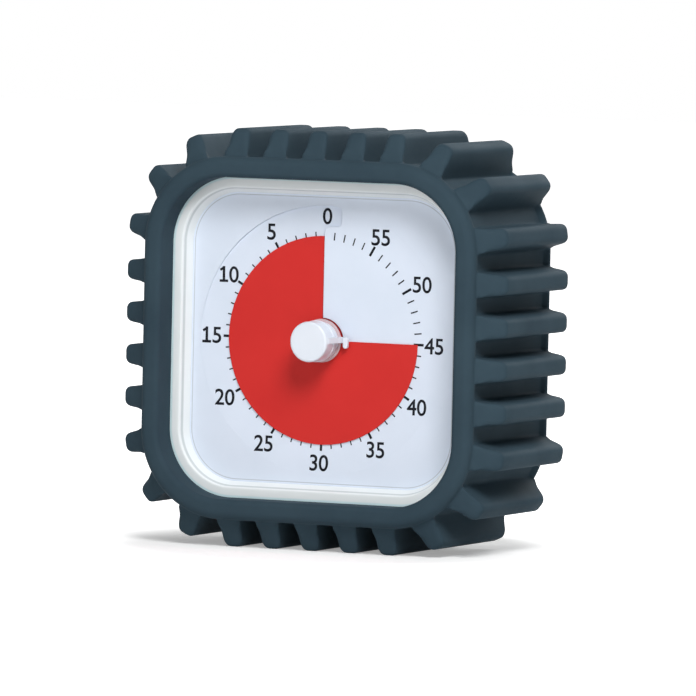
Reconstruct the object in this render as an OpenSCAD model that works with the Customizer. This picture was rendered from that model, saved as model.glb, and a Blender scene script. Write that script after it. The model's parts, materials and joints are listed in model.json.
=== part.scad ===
// Visual countdown timer: a ribbed soft sleeve over a square two-piece case, a dial plate
// with a spiral ramp, a thin disc that winds through a slit in the plate, a setting knob,
// and a battery clockwork behind them.
// Millimetres. X runs to the right, Y to the back and Z up; the origin is under the middle
// of the timer, at the height of the surface it stands on.

/* [Case] */
// Width and height of the rigid case
case_w = 88; // [84:1:110]
// Corner radius of the case
case_r = 20.2; // [16:0.2:26]
// Depth of the case from its front face to its back
case_d = 41.7; // [40:0.1:55]
// Thickness of the case's walls
wall = 2; // [1.6:0.1:2.6]
// Depth of the front housing's side walls, behind the front face
front_d = 20.5; // [16:0.5:24]
// Radius of the case's outer edges
case_edge = 1.5; // [0.5:0.1:1.8]

/* [Sleeve] */
// Thickness of the sleeve between its ribs
sleeve_wall = 1.65; // [1.2:0.05:3]
// How far the front rim stands in front of the case
rim_rise = 7.6; // [3:0.1:12]
// Width of the front rim over the case's front face, from the case's outer face
rim_lap = 2.7; // [1.5:0.1:4]
// How far the rims stand proud of the sleeve's wall
rim_proud = 1; // [0.4:0.1:2]
// Thickness of the rear lip behind the case
lip_t = 1.5; // [1:0.1:3]
// Width of the rear lip over the case's back
lip_lap = 1.7; // [1:0.1:1.9]
// Number of ribs around the sleeve
rib_count = 30; // [18:2:36]
// Height of a rib above the sleeve's wall
rib_h = 8.15; // [3:0.05:12]
// Width of a rib at its root
rib_root_w = 6.6; // [4:0.1:8]
// Width of a rib at its tip
rib_tip_w = 4.2; // [3:0.1:6]
// Radius along a rib's tip
rib_round = 1.25; // [0.4:0.05:1.4]
// Distance from the case's front face back to the front end of a rib's tip
rib_front = -1.3; // [-4:0.1:6]
// Distance from the case's back to the rear end of a rib's tip
rib_rear = 4.8; // [1:0.1:10]
// How far a rib's sloping ends run out towards its root
rib_slope = 3.9; // [0:0.1:6]

/* [Dial] */
// Distance from the case's front face back to the dial
dial_deep = 3.5; // [2:0.1:6]
// Width of the dial that shows inside the bezel
dial_w = 74.6; // [70:0.1:80]
// Slope of the bezel's inner wall, outwards over its depth
bezel_draft = 1.3; // [0.3:0.1:2]
// Thickness of the dial plate outside the ramp
plate_t = 1.3; // [1.2:0.1:2]
// Thickness of the dial plate on the ramp
ramp_t = 0.45; // [0.4:0.05:0.6]
// Height that the ramp and the disc climb in one turn
ramp_rise = 0.85; // [0.85:0.05:1.2]
// Radius of the hole in the middle of the dial
dial_hole_r = 5.8; // [5.7:0.1:6.5]
// Radius out to which the ramp has its full height
ramp_r = 27.5; // [27.2:0.1:29]
// Radius of the recess that leads into the slit
recess_r = 34.6; // [33:0.1:35.5]
// Angle over which the recess fades away
recess_fade = 90; // [60:5:120]
// Width of the pocket beside the slit, at the recess's end
pocket_w = 4.7; // [3:0.1:6]
// Distance from the dial's middle to that pocket
pocket_in = 29.3; // [28.5:0.1:31]

/* [Disc] */
// Radius of the disc
disc_r = 26.8; // [20:0.1:27]
// Thickness of the disc
disc_t = 0.2; // [0.15:0.05:0.25]
// Clearance between the disc and the ramp
disc_gap = 0.1; // [0.1:0.02:0.2]
// Time that the disc shows at rest, in minutes
rest_minutes = 45; // [5:1:55]

/* [Knob] */
// Radius of the knob's front face
knob_r = 5.2; // [4.5:0.1:5.4]
// How much wider the knob is at its rear
knob_draft = 0.15; // [0:0.05:0.3]
// Radius of the knob's front edge
knob_edge = 0.6; // [0.2:0.1:1]
// Distance from the dial to the knob's front face
knob_front = 8.8; // [6:0.1:10]
// Distance from the dial to the knob's rear face
knob_back = 3.5; // [3.4:0.1:4.5]
// Radius of the shaft that the knob and the hub sit on
shaft_r = 2; // [1.5:0.1:2.4]
// Length of the arm that stands out of the hub, from the axis
arm_reach = 7.8; // [7:0.1:10]

/* [Clockwork] */
// Width of the movement's case
movement_w = 54; // [54:1:58]
// Height of the movement's case
movement_h = 42; // [42:1:46]
// Depth of the movement's case
movement_d = 14; // [13.5:0.1:15]
// Tooth size of the wheels
gear_module = 0.4; // [0.4:0.01:0.42]

/* [Power] */
// Radius of the battery cell
cell_r = 7.2; // [7:0.1:7.25]
// Length of the battery cell without its nub
cell_l = 49; // [48:0.1:50]
// Height of the battery's axis below the middle of the case
cell_drop = 22; // [20:0.1:23]
// Travel of the sound switch
switch_travel = 2.6; // [2:0.1:3]

/* [Hidden] */
$fn = 96;

fit = 0.05;                                    // running clearance of round parts, on the radius
seat = 0.1;                                    // clearance of pieces that drop into each other
bite = 0.3;                                    // how far bosses of a moulding run into its walls

case_half = case_w / 2;
corner_c = case_half - case_r;                 // centre of every corner arc
rib_tip_half = case_half + fit + sleeve_wall + rib_h;
case_front = dial_deep;                        // heights here are measured from the dial
case_back = case_front - case_d;
split = case_front - front_d;                  // where the two housings meet
rim_front = case_front + rim_rise;
sleeve_back = case_back - lip_t;
dial_y = (rim_front + sleeve_back) / 2;         // puts the middle of the depth at Y = 0
dial_half = dial_w / 2;
floor_half = case_half + fit + sleeve_wall;
rim_half = floor_half + rim_proud;

// Puts children drawn in the dial's plane, with their height towards the viewer, in place
module in_place() {
    translate([0, dial_y, rib_tip_half])
        rotate([90, 0, 0])
            children();
}

function arc(c, r, from, to, steps = 6) =
    [for (i = [0:steps]) let (a = from + (to - from) * i / steps) c + r * [cos(a), sin(a)]];

// Sweeps a section around the rounded square: points are [half width, height]
module ring(section) {
    for (q = [0:3])
        rotate([0, 0, 90 * q]) {
            rotate([90, 0, 0])
                linear_extrude(2 * corner_c, center = true)
                    polygon(section);
            translate([corner_c, corner_c, 0])
                rotate_extrude(angle = 90)
                    translate([-corner_c, 0])
                        polygon(section);
        }
}

// A rounded square plate whose corners share the case's corner centres
module plate(half, from, to) {
    translate([0, 0, from])
        linear_extrude(to - from) {
            square([2 * half, 2 * corner_c], center = true);
            square([2 * corner_c, 2 * half], center = true);
            for (x = [-1, 1], y = [-1, 1])
                translate([x * corner_c, y * corner_c])
                    circle(half - corner_c);
        }
}

// ---- sleeve ----

edge_out = 2.4;                                // rounding of the rims' outer edges
edge_in = 1.5;                                 // rounding of the front rim's inner edge
lip_edge = 0.4;                                // chamfer of the rear lip's inner edge
front_rim_d = 3;                               // depth of the front rim before it slopes down
rear_rim_d = 2.6;
rim_run = 1.6;                                 // depth over which a rim slopes down to the wall
outline_r = floor_half - corner_c;
outline_l = 8 * corner_c + 2 * PI * outline_r;

// Place and direction on the sleeve's wall, at a distance along it from the middle of a side
// and no further than the middle of its corner
function quarter_at(s) =
    s < corner_c ? [s, floor_half, 0] :
    let (a = (s - corner_c) / outline_r * 180 / PI)
        [corner_c + outline_r * sin(a), corner_c + outline_r * cos(a), a];

module rib() {
    root_in = 0.8;                             // how far the rib starts inside the wall
    end_round = 0.6 * rib_round;
    front = case_front - rib_front;
    rear = case_back + rib_rear;
    over = root_in * rib_slope / rib_h;
    intersection() {
        // across the rib
        translate([0, 0, rear - rib_slope - 1])
            linear_extrude(front - rear + 2 * rib_slope + 2)
                polygon(concat(
                    [[-root_in, rib_root_w / 2], [-root_in, -rib_root_w / 2], [0, -rib_root_w / 2]],
                    arc([rib_h - rib_round, -rib_tip_w / 2 + rib_round], rib_round, -75, 0, 4),
                    arc([rib_h - rib_round, rib_tip_w / 2 - rib_round], rib_round, 0, 75, 4),
                    [[0, rib_root_w / 2]]));
        // along the rib
        rotate([90, 0, 0])
            linear_extrude(rib_root_w + 2, center = true)
                polygon(concat(
                    [[-root_in, front + rib_slope + over], [-root_in, rear - rib_slope - over]],
                    arc([rib_h - rib_round, rear + end_round], rib_round, -65, 0, 3),
                    arc([rib_h - rib_round, front - end_round], rib_round, 0, 65, 3)));
    }
}

module cover_sleeve() {
    inside = case_half + fit;
    front = case_front + fit;
    back = case_back - fit;
    color("#35454f")
        in_place() {
            ring(concat(
                [[case_half - lip_lap, back], [case_half - lip_lap, sleeve_back + lip_edge],
                    [case_half - lip_lap + lip_edge, sleeve_back]],
                arc([rim_half - edge_out, sleeve_back + edge_out], edge_out, -90, 0),
                [[rim_half, sleeve_back + rear_rim_d],
                    [floor_half, sleeve_back + rear_rim_d + rim_run],
                    [floor_half, rim_front - front_rim_d - rim_run],
                    [rim_half, rim_front - front_rim_d]],
                arc([rim_half - edge_out, rim_front - edge_out], edge_out, 0, 90),
                arc([case_half - rim_lap + edge_in, rim_front - edge_in], edge_in, 90, 180),
                [[case_half - rim_lap, front]],
                arc([inside - case_edge, front - case_edge], case_edge, 90, 0, 4),
                arc([inside - case_edge, back + case_edge], case_edge, 0, -90, 4)));
            for (i = [0:rib_count - 1])
                let (s = i * outline_l / rib_count, quarter = outline_l / 4,
                    q = floor(s / quarter + 0.5), p = quarter_at(abs(s - q * quarter)),
                    side = s - q * quarter < 0 ? -1 : 1)
                    rotate([0, 0, -90 * q])
                        translate([side * p[0], p[1], 0])
                            rotate([0, 0, 90 - side * p[2]])
                                rib();
        }
}

// ---- housings ----

inner_half = case_half - wall;
lap_half = inner_half + wall / 2 - seat / 2;   // outside of the front housing's tongue
lap_deep = 1.5;                                // how far the tongue stands into the rear housing
bezel_t = 1.6;                                 // thickness of the bezel's inner wall
bezel_edge = 0.4;                              // rounding of the bezel's front edge
flange_t = 2;
boss_top = case_front - flange_t + bite;       // bosses and pillars end inside the flange
boss_r = 2;
boss_at = corner_c + (inner_half + bite - boss_r - corner_c) / sqrt(2);
pillar_r = 1.8;
pillar_at = inner_half - pillar_r - seat;
screw_r = 1.1;
head_r = 2.1;
head_t = 1.5;
small_screw_r = 0.9;
small_head_r = 1.7;
slot_w = 0.5;                                  // cross slots in the screws' heads
slot_deep = 0.8;
screw_pass = 0.15;                             // clearance of a screw in a hole it passes through
head_pass = 0.2;                               // clearance of a screw's head in its well
screw_bite = 6;                                // how far a screw runs into what it holds
small_bite = 3.5;
well_deep = 6;                                 // how deep the housing screws' heads sit
well_wall = 0.9;
well_floor = case_back + well_deep;
chassis_gap = 2.1;                             // space between the dial plate and its chassis
chassis_front = -plate_t - chassis_gap;
chassis_t = 1.6;

module corners(at = boss_at) {
    for (x = [-1, 1], y = [-1, 1])
        translate([x * at, y * at, 0])
            children();
}

module sides(at = pillar_at) {
    for (q = [0:3])
        rotate([0, 0, 90 * q])
            translate([at, 0, 0])
                children();
}

// A pan-head screw whose head rests at a height, with its shank running towards the viewer
module screw(at, length, r = screw_r, head = head_r) {
    translate([0, 0, at]) {
        cylinder(r = r, h = length);
        translate([0, 0, -head_t])
            difference() {
                cylinder(r = head, h = head_t);
                for (q = [0, 90])
                    rotate([0, 0, q])
                        cube([head * 1.2, slot_w, 2 * slot_deep], center = true);
            }
    }
}

module front_housing() {
    color("#eceeea")
        in_place()
            difference() {
                union() {
                    ring(concat(
                        [[dial_half, 0]],
                        arc([dial_half + bezel_draft + bezel_edge, case_front - bezel_edge],
                            bezel_edge, 180, 90, 3),
                        arc([case_half - case_edge, case_front - case_edge], case_edge, 90, 0),
                        [[case_half, split], [lap_half, split], [lap_half, split - lap_deep],
                            [inner_half, split - lap_deep], [inner_half, case_front - flange_t],
                            [dial_half + bezel_draft + bezel_t, case_front - flange_t],
                            [dial_half + bezel_t, 0]]));
                    corners()
                        translate([0, 0, split])
                            cylinder(r = boss_r, h = boss_top - split);
                    sides()
                        translate([0, 0, chassis_front])
                            cylinder(r = pillar_r, h = boss_top - chassis_front);
                    sides()
                        translate([0, -pillar_r, chassis_front])
                            cube([inner_half - pillar_at + bite, 2 * pillar_r,
                                boss_top - chassis_front]);
                }
                corners()
                    translate([0, 0, split - 1])
                        cylinder(r = screw_r + fit / 2, h = screw_bite + 2);
                sides()
                    translate([0, 0, chassis_front - 1])
                        cylinder(r = small_screw_r + fit / 2, h = small_bite + 1.5);
            }
}

module housing_screws() {
    color("silver")
        in_place()
            corners()
                screw(well_floor, split - well_floor + screw_bite);
}

module chassis_screws() {
    color("silver")
        in_place()
            sides()
                screw(chassis_front - chassis_t, chassis_t + small_bite, small_screw_r,
                    small_head_r);
}

// ---- battery tub and back ----

tub_half = 29;                                 // half the tub's inner length
door_lap = 1.5;                                // how far the door's ends reach past the tub
door_w = 2 * (tub_half + door_lap);
door_h = 2 * cell_r + 4.2;
door_t = 1.6;
door_gap = 0.2;                                // space between the door and the cell
tub_r = cell_r + 0.3;
tub_wall = 1.2;
tub_floor = case_back + door_t + door_gap + 2 * cell_r + seat;
cell_axis = tub_floor - seat - cell_r;
hinge_r = 0.75;
hinge_y = -cell_drop - door_h / 2 + hinge_r;
hinge_z = case_back + door_t / 2;
pin_l = 1.5;
groove_y = -cell_drop + 4;
groove_l = 12;
groove_w = 0.6;
groove_pitch = 1.4;
groove_deep = 0.4;

board_front = case_back + wall + 8;            // the board's face towards the dial
board_t = 1.6;
board_back = board_front - board_t;
board_w = 46;
board_low = -cell_drop + tub_r + tub_wall + 1;
board_high = 32;
board_boss_r = 2.3;
board_boss = [[-20, board_low + 3], [20, board_low + 3], [0, board_high - 3]];
buzzer_at = [-11, 15];
buzzer_r = 6;
sound_ring_r = 3.2;
sound_hole_r = 0.8;
switch_at = [12, 17];
cap_w = 4;
cap_h = 3;
slot_gap = 0.2;

module rear_housing() {
    color("#e6e8e4")
        in_place()
            difference() {
                union() {
                    ring(concat(
                        [[inner_half, case_back + wall], [inner_half, split],
                            [case_half, split]],
                        arc([case_half - case_edge, case_back + case_edge], case_edge, 0, -90),
                        [[case_half - 6, case_back], [case_half - 6, case_back + wall]]));
                    plate(case_half - 5, case_back, case_back + wall);
                    corners()
                        translate([0, 0, case_back + bite])
                            cylinder(r = head_r + head_pass + well_wall,
                                h = split - case_back - bite);
                    // battery tub
                    translate([-tub_half - tub_wall, -cell_drop - tub_r - tub_wall,
                        case_back + bite])
                        cube([2 * (tub_half + tub_wall), 2 * (tub_r + tub_wall),
                            tub_floor + tub_wall - case_back - bite]);
                    for (b = board_boss)
                        translate([b[0], b[1], case_back + bite])
                            cylinder(r = board_boss_r, h = board_back - case_back - bite);
                }
                // groove for the front housing's tongue
                ring([[inner_half - seat, split - lap_deep - seat],
                    [lap_half + seat, split - lap_deep - seat], [lap_half + seat, split + 1],
                    [inner_half - seat, split + 1]]);
                corners() {
                    translate([0, 0, case_back - 1])
                        cylinder(r = screw_r + screw_pass, h = case_d);
                    translate([0, 0, case_back - 1])
                        cylinder(r = head_r + head_pass, h = well_deep + 1);
                }
                translate([-tub_half, -cell_drop - tub_r, case_back - 1])
                    cube([2 * tub_half, 2 * tub_r, tub_floor - case_back + 1]);
                // relief over the tub for the heads of the movement's screws
                movement_corners()
                    translate([0, 0, movement_back_z - head_t - seat])
                        cylinder(r = small_head_r + head_pass, h = head_t);
                // door's seat, with the bores of its two hinge pins
                translate([-door_w / 2 - seat, -cell_drop - door_h / 2 - seat, case_back - 1])
                    cube([door_w + 2 * seat, door_h + 2 * seat, door_t + 1 + seat]);
                for (x = [-1, 1])
                    translate([x * (door_w / 2), hinge_y, hinge_z])
                        rotate([0, 90, 0])
                            cylinder(r = hinge_r + fit, h = 2 * (pin_l + 2 * seat), center = true);
                for (b = board_boss)
                    translate([b[0], b[1], case_back + wall])
                        cylinder(r = small_screw_r + fit / 2, h = 20);
                // switch slot and sound holes
                translate([switch_at[0] - cap_w / 2 - slot_gap, switch_at[1] - cap_h / 2 - slot_gap,
                    case_back - 1])
                    cube([cap_w + switch_travel + 2 * slot_gap, cap_h + 2 * slot_gap, wall + 2]);
                for (i = [0:6])
                    rotate_about(buzzer_at, 60 * i)
                        translate([buzzer_at[0] + (i < 6 ? sound_ring_r : 0), buzzer_at[1],
                            case_back - 1])
                            cylinder(r = sound_hole_r, h = wall + 2);
            }
}

module rotate_about(at, angle) {
    translate([at[0], at[1], 0])
        rotate([0, 0, angle])
            translate([-at[0], -at[1], 0])
                children();
}

module battery_door() {
    color("#e6e8e4")
        in_place()
            union() {
                difference() {
                    translate([-door_w / 2 + seat, hinge_y, case_back])
                        cube([door_w - 2 * seat, door_h - hinge_r - seat, door_t]);
                    // grooves for a finger, cut across the door
                    for (i = [-2:2])
                        translate([-groove_l / 2, groove_y + groove_pitch * i, case_back - 1])
                            cube([groove_l, groove_w, 1 + groove_deep]);
                }
                translate([0, hinge_y, hinge_z])
                    rotate([0, 90, 0]) {
                        cylinder(r = door_t / 2, h = door_w - 2 * seat, center = true);
                        cylinder(r = hinge_r, h = door_w + 2 * pin_l, center = true);
                    }
            }
}

nub_r = 2.7;
nub_l = 1.4;
nub_x = cell_l / 2 + nub_l;
strip_w = 10;                                  // width of the contacts' strips
strip_t = 0.4;

module battery_cell() {
    color("#3b3f45")
        in_place()
            translate([0, -cell_drop, cell_axis])
                rotate([0, 90, 0]) {
                    translate([0, 0, -cell_l / 2])
                        cylinder(r = cell_r, h = cell_l);
                    cylinder(r = nub_r, h = nub_x);
                }
}

module contact_plate() {
    color("silver")
        in_place()
            translate([0, -cell_drop, cell_axis])
                rotate([0, 90, 0]) {
                    translate([-strip_w / 2, -strip_w / 2, tub_half - seat - strip_t])
                        cube([strip_w, strip_w, strip_t]);
                    translate([0, 0, nub_x + fit])
                        cylinder(r1 = 2, r2 = 3, h = tub_half - seat - strip_t - nub_x);
                }
}

// A round wire wound into a spring along Z, from one radius to another
module spring(r_from, r_to, h, turns, wire) {
    n = 6;
    steps = turns * 12;
    points = [for (i = [0:steps], k = [0:n - 1])
        let (t = i / steps, a = 360 * turns * t, r = r_from + (r_to - r_from) * t,
            b = 360 * k / n, q = r + wire * cos(b))
            [q * cos(a), q * sin(a), h * t + wire * sin(b)]];
    skins = [for (i = [0:steps - 1], k = [0:n - 1])
        let (a = i * n + k, b = i * n + (k + 1) % n)
            each [[a, b, a + n], [b, b + n, a + n]]];
    ends = [for (k = [1:n - 2]) each [[0, k + 1, k],
        [steps * n, steps * n + k, steps * n + k + 1]]];
    polyhedron(points, concat(skins, ends));
}

module contact_spring() {
    wire = 0.3;
    color("silver")
        in_place()
            translate([-tub_half + seat, -cell_drop, cell_axis])
                rotate([0, 90, 0]) {
                    translate([-strip_w / 2, -strip_w / 2, 0])
                        cube([strip_w, strip_w, strip_t]);
                    translate([0, 0, strip_t + wire * 0.6])
                        spring(4.2, 2.6, tub_half - seat - strip_t - cell_l / 2 - 2 * wire - fit, 4,
                            wire);
                }
}

// ---- circuit board ----

module circuit_board() {
    color("#2f6b45")
        in_place()
            difference() {
                translate([-board_w / 2, board_low, board_back])
                    cube([board_w, board_high - board_low, board_t]);
                for (b = board_boss)
                    translate([b[0], b[1], board_back - 1])
                        cylinder(r = small_screw_r + screw_pass, h = 4);
            }
}

module board_screws() {
    color("silver")
        in_place()
            for (b = board_boss)
                translate([b[0], b[1], board_front])
                    rotate([180, 0, 0])
                        screw(0, board_t + small_bite, small_screw_r, small_head_r);
}

module quartz_crystal() {
    color("silver")
        in_place()
            translate([-4, 8, board_front + 1.05])
                rotate([0, 90, 0])
                    cylinder(r = 1, h = 6);
}

module circuit_chip() {
    color("#202225")
        in_place()
            translate([6, 13, board_front])
                cylinder(r1 = 4, r2 = 2.8, h = 1.2);
}

module buzzer() {
    color("#202225")
        in_place()
            translate([buzzer_at[0], buzzer_at[1], case_back + wall + 1])
                difference() {
                    cylinder(r = buzzer_r, h = board_back - case_back - wall - 1);
                    translate([0, 0, -1])
                        cylinder(r = 1.2, h = 2);
                }
}

switch_top = case_back + wall + 1.2;

module switch_body() {
    color("#202225")
        in_place()
            difference() {
                translate([switch_at[0] + switch_travel / 2 - 4.5, switch_at[1] - 2.2, switch_top])
                    cube([9, 4.4, board_back - switch_top]);
                translate([switch_at[0] - 1.1, switch_at[1] - 0.9, switch_top - 1])
                    cube([2.2 + switch_travel, 1.8, 3]);
            }
}

module switch_slider() {
    color("#303338")
        in_place()
            difference() {
                union() {
                    translate([switch_at[0] - cap_w / 2, switch_at[1] - cap_h / 2, case_back - 0.8])
                        cube([cap_w, cap_h, switch_top - 0.1 - case_back + 0.8]);
                    translate([switch_at[0] - 1, switch_at[1] - 0.8, switch_top - 0.2])
                        cube([2, 1.6, 1.9]);
                }
                for (i = [-1:1])
                    translate([switch_at[0] + 1.1 * i - 0.25, switch_at[1] - 3, case_back - 1])
                        cube([0.5, 6, 0.6]);
            }
}

// ---- dial, disc and knob ----

steps_turn = 72;
function ramp_at(a) = -ramp_rise + ramp_rise * a / 360;
function recess_at(a) =
    (a < recess_fade ? -ramp_rise * (1 - a / recess_fade) : 0) - sheet_clear;

// A closed shell over rings of points: near and far are the lower and upper ring lists
module wound(radii, low, high, from, to, steps) {
    n = len(radii);
    angle = function (i) from + (to - from) * i / steps;
    points = concat(
        [for (i = [0:steps], j = [0:n - 1])
            [-radii[j] * sin(angle(i)), radii[j] * cos(angle(i)), low(angle(i), j)]],
        [for (i = [0:steps], j = [0:n - 1])
            [-radii[j] * sin(angle(i)), radii[j] * cos(angle(i)), high(angle(i), j)]]);
    t = n * (steps + 1);
    function at(i, j) = i * n + j;
    faces = concat(
        [for (i = [0:steps - 1], j = [0:n - 2]) each [
            [at(i, j), at(i + 1, j + 1), at(i + 1, j)],
            [at(i, j), at(i, j + 1), at(i + 1, j + 1)],
            [t + at(i, j), t + at(i + 1, j), t + at(i + 1, j + 1)],
            [t + at(i, j), t + at(i + 1, j + 1), t + at(i, j + 1)]]],
        [for (i = [0:steps - 1]) each [
            [at(i, 0), t + at(i + 1, 0), t + at(i, 0)],
            [at(i, 0), at(i + 1, 0), t + at(i + 1, 0)],
            [at(i, n - 1), t + at(i, n - 1), t + at(i + 1, n - 1)],
            [at(i, n - 1), t + at(i + 1, n - 1), at(i + 1, n - 1)]]],
        [for (j = [0:n - 2]) each [
            [at(0, j), t + at(0, j + 1), at(0, j + 1)],
            [at(0, j), t + at(0, j), t + at(0, j + 1)],
            [at(steps, j), at(steps, j + 1), t + at(steps, j + 1)],
            [at(steps, j), t + at(steps, j + 1), t + at(steps, j)]]]);
    polyhedron(points, faces);
}

dial_lap = 2.6;                                // how far the plate runs out under the bezel
sheet_clear = 0.02;                            // depth of the recess's shallow end
pocket_r = 1.3;                                // rounding of the pocket's corners

// Pocket at the recess's end, with the rounded corner where the slit runs into it
module pocket() {
    top = sqrt(recess_r ^ 2 - pocket_w ^ 2) - pocket_r;
    translate([0, 0, recess_at(0)])
        linear_extrude(2) {
            polygon(concat([[0, pocket_in]],
                arc([pocket_w - pocket_r, pocket_in + pocket_r], pocket_r, -90, 0),
                arc([pocket_w - pocket_r, top], pocket_r, 0, 80),
                [for (i = [4:-1:0]) let (x = i / 4 * (pocket_w - pocket_r))
                    [x, sqrt(recess_r ^ 2 - x ^ 2)]]));
            difference() {
                translate([0, pocket_in - pocket_r])
                    square(pocket_r);
                translate([pocket_r, pocket_in - pocket_r])
                    circle(pocket_r);
            }
        }
}

module dial_plate() {
    in_r = dial_hole_r - 1.5;
    color("#dfe4ee")
        in_place()
            difference() {
                plate(dial_half + dial_lap, -plate_t, 0);
                cylinder(r = dial_hole_r, h = 10, center = true);
                corners()
                    cylinder(r = boss_r + seat, h = 10, center = true);
                sides()
                    cylinder(r = pillar_r + seat, h = 10, center = true);
                pocket();
                for (from = [0, 180]) {
                    wound([in_r, ramp_r, recess_r],
                        function (a, j) j < 2 ? ramp_at(a) : recess_at(a),
                        function (a, j) 1, from, from + 180, steps_turn / 2);
                    wound([in_r, ramp_r],
                        function (a, j) -3,
                        function (a, j) ramp_at(a) - ramp_t, from, from + 180, steps_turn / 2);
                }
            }
}

rest_angle = rest_minutes * 6;
disc_bore = 4.2;
function disc_low(a) = ramp_at(a) + disc_gap;

module red_disc() {
    color("#cf2f2b")
        in_place()
            wound([disc_bore, disc_r],
                function (a, j) disc_low(a),
                function (a, j) disc_low(a) + disc_t,
                rest_angle - 356, rest_angle, steps_turn);
}

hub_grip = 0.02;                               // the disc's bore over the hub's tube, on the radius
press = 0.01;                                  // the knob's bore over the shaft, on the radius
knob_grip = 3.5;                               // depth of the knob's bore
soft_edge = 0.15;                              // rounding of the knob's collar
climb = ramp_rise * (1 - rest_minutes / 60);   // how far the disc climbs from rest to its limit
hub_back = -ramp_rise * 2;
flange_z = ramp_rise;                          // the flange clears the disc's highest turn
hub_flange_t = 1.15;
hub_flange_r = 4.8;
arm_t = 0.8;
arm_ahead = 1.18;                              // the arm's edge ahead of the disc's leading edge
arm_w = 1.5;
hook_w = 1.3;
hook_l = 1.4;
washer_t = 0.2;

module disc_hub() {
    tube_r = disc_bore - hub_grip;
    color("white")
        in_place()
            difference() {
                union() {
                    translate([0, 0, hub_back])
                        cylinder(r = tube_r, h = knob_back - climb - seat - hub_back);
                    translate([0, 0, flange_z])
                        cylinder(r = hub_flange_r, h = hub_flange_t);
                    // arm that marks the disc's leading edge, with its hook over the disc
                    rotate([0, 0, rest_angle])
                        translate([-arm_ahead, 0, flange_z])
                            linear_extrude(arm_t) {
                                translate([0, hub_flange_r - 1])
                                    square([arm_w, arm_reach - hub_flange_r + 1 - hook_w / 2]);
                                translate([hook_w / 2, arm_reach - hook_w / 2])
                                    circle(hook_w / 2);
                                translate([hook_w / 2, arm_reach - hook_w])
                                    square([arm_w + hook_l - hook_w, hook_w]);
                                translate([arm_w + hook_l - hook_w / 2, arm_reach - hook_w / 2])
                                    circle(hook_w / 2);
                            }
                }
                cylinder(r = shaft_r + fit, h = 20, center = true);
            }
}

// Clear film washer under the hub's flange, over the disc's middle
module disc_washer() {
    color("#e8eef2", 0.5)
        in_place()
            translate([0, 0, flange_z - washer_t])
                difference() {
                    cylinder(r = dial_hole_r - 2 * seat, h = washer_t);
                    translate([0, 0, -1])
                        cylinder(r = disc_bore - hub_grip + fit, h = 3);
                }
}

module setting_knob() {
    rear_r = knob_r + knob_draft;
    collar_top = knob_back + 0.9;              // front of the collar round the knob's rear
    fin_back = flange_z + arm_t + climb + seat;
    fin_top = knob_front - knob_edge;
    fin_in = rear_r - 0.25;
    fin_out = 6.4;                             // radius of the fin's foot
    color("white")
        in_place() {
            difference() {
                union() {
                    rotate_extrude()
                        polygon(concat([[0, knob_back]],
                            arc([rear_r - soft_edge, knob_back + soft_edge], soft_edge, -90, 0, 3),
                            arc([rear_r - soft_edge, collar_top - soft_edge], soft_edge, 0, 60, 3),
                            [[knob_r, collar_top]],
                            arc([knob_r - knob_edge, knob_front - knob_edge], knob_edge, 0, 90),
                            [[0, knob_front]]));
                    // fin down the knob's side, in line with the hub's arm
                    rotate([0, 0, rest_angle])
                        translate([arm_w - arm_ahead, 0, 0])
                            rotate([0, -90, 0])
                                linear_extrude(arm_w)
                                    polygon([[fin_back, fin_in], [fin_back, fin_out],
                                        [fin_top - 0.4, knob_r + 0.3], [fin_top, knob_r],
                                        [fin_top, knob_r - 1], [knob_back + 0.5, knob_r - 1],
                                        [knob_back + 0.5, fin_in]]);
                }
                translate([0, 0, knob_back - 1])
                    cylinder(r = shaft_r + press, h = knob_grip + 1);
            }
        }
}

// ---- clockwork ----

movement_front_z = chassis_front - chassis_t;
movement_back_z = movement_front_z - movement_d;
shell = 1.2;
inside_front = movement_front_z - shell;
inside_back = movement_back_z + shell;
neck_r = 3.1;
neck_front = -2.7;
arbor_r = 0.6;
pivot_r = 0.4;
fine = 0.75;                                   // tooth size of the faster wheels, as a share

wheel_teeth = 60;
third_teeth = 64;
fifth_teeth = 50;
small_teeth = 8;
quick_teeth = 10;

// Heights of the wheels' rear faces, and their thickness
wheel_t = 0.7;
collar_z = inside_front - 0.3;                 // front of the shaft's collar
collar_t = 0.9;
centre_z0 = collar_z - collar_t - 0.6 - wheel_t;
third_z0 = centre_z0 - 0.5 - wheel_t;
fourth_z0 = third_z0 - 0.5 - wheel_t;
fifth_z0 = fourth_z0 - 0.5 - wheel_t;
magnet_t = 1.6;
magnet_r = 2.8;
magnet_z0 = fifth_z0 - 0.5 - magnet_t;

function pitch_r(teeth, m) = teeth * m / 2;
function polar(r, a) = r * [cos(a), sin(a)];
m1 = gear_module;
m2 = gear_module * fine;
third_at = polar(pitch_r(wheel_teeth + small_teeth, m1), 150);
fourth_at = third_at + polar(pitch_r(third_teeth + small_teeth, m2), -100);
fifth_at = fourth_at + polar(pitch_r(wheel_teeth + quick_teeth, m2), -62);
rotor_at = fifth_at + polar(pitch_r(fifth_teeth + quick_teeth, m2 * fine), -15);

// Outline of a spur wheel with one tooth standing at angle 0
module teeth(count, m) {
    rp = pitch_r(count, m);
    play = 9 / count;                          // half the backlash, in degrees
    half = 90 / count - play;
    polygon([for (i = [0:count - 1]) let (a = 360 * i / count) each [
        polar(rp - 1.2 * m, a - half * 1.25),
        polar(rp, a - half),
        polar(rp + 0.55 * m, a - half * 0.7),
        polar(rp + 0.85 * m, a - half * 0.3),
        polar(rp + 0.85 * m, a + half * 0.3),
        polar(rp + 0.55 * m, a + half * 0.7),
        polar(rp, a + half),
        polar(rp - 1.2 * m, a + half * 1.25)]]);
}

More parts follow.
